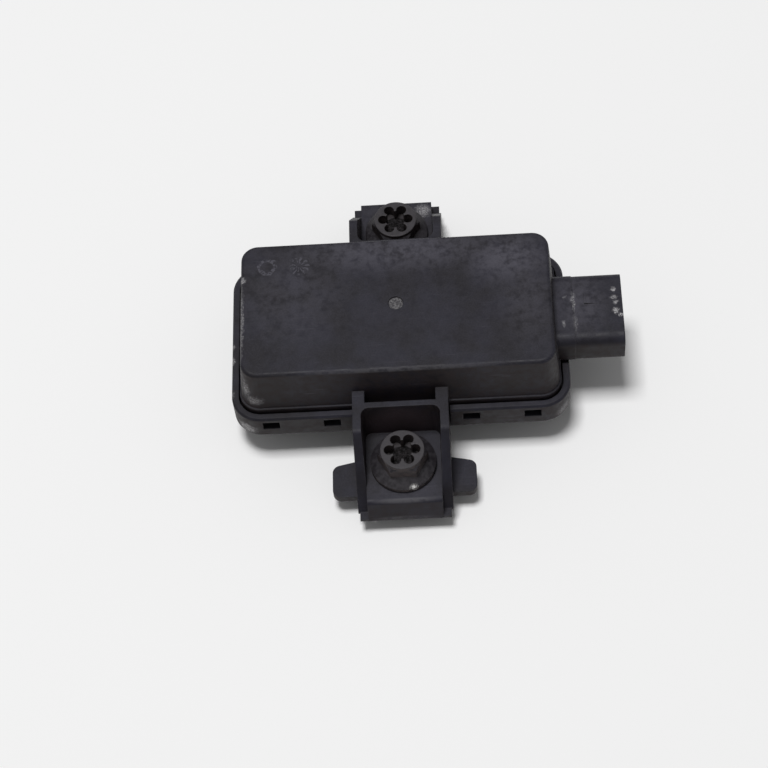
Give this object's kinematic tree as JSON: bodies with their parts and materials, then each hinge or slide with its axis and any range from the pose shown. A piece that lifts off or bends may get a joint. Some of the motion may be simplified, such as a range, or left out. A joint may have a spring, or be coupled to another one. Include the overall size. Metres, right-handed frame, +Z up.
{
  "type": "tyre pressure control unit",
  "caption": "Flat black receiver box with a drafted cover, clipped base lid, side plug shroud and two U-channel brackets with captive flange bolts; reads wheel pressure sensors by radio.",
  "frame": {"origin": "midway between the two bolt axes on the mounting plane, the underside of the brackets", "axes": "+X along the plug shroud, +Y from the eared front bracket to the rear bracket, +Z up from the mounting plane through the cover"},
  "size_m": [0.0906, 0.0858, 0.0287],
  "materials": {
    "housing_plastic": "fine spark-eroded grain, dusty",
    "lid_plastic": "fine grain, scuffed corners",
    "seal_rubber": "matt",
    "board_laminate": "green solder resist",
    "chip_resin": "moulded resin",
    "can_metal": "satin",
    "contact_metal": "tinned",
    "sleeve_steel": "zinc plated",
    "bolt_steel": "black coated steel, satin"
  },
  "bodies": {
    "case": {"housing": "housing_plastic", "base_lid": "lid_plastic", "seal": "seal_rubber", "circuit_board": "board_laminate", "microcontroller": "chip_resin", "receiver_chip": "chip_resin", "bus_transceiver": "chip_resin", "voltage_regulator": "chip_resin", "capacitor": "can_metal", "crystal": "can_metal", "band_filter": "can_metal", "antenna": "contact_metal", "terminal_1": "contact_metal", "terminal_2": "contact_metal", "terminal_3": "contact_metal", "terminal_4": "contact_metal", "front_sleeve": "sleeve_steel", "rear_sleeve": "sleeve_steel"},
    "bolt_front": {"front_bolt": "bolt_steel"},
    "bolt_rear": {"rear_bolt": "bolt_steel"}
  },
  "joints": [
    {"name": "front_bolt_turn", "type": "hinge", "parent": "case", "child": "bolt_front", "pos_m": [0, -0.0316, 0.0056], "axis": [0, 0, 1], "continuous": true},
    {"name": "rear_bolt_turn", "type": "hinge", "parent": "case", "child": "bolt_rear", "pos_m": [0, 0.0316, 0.0056], "axis": [0, 0, 1], "continuous": true}
  ]
}
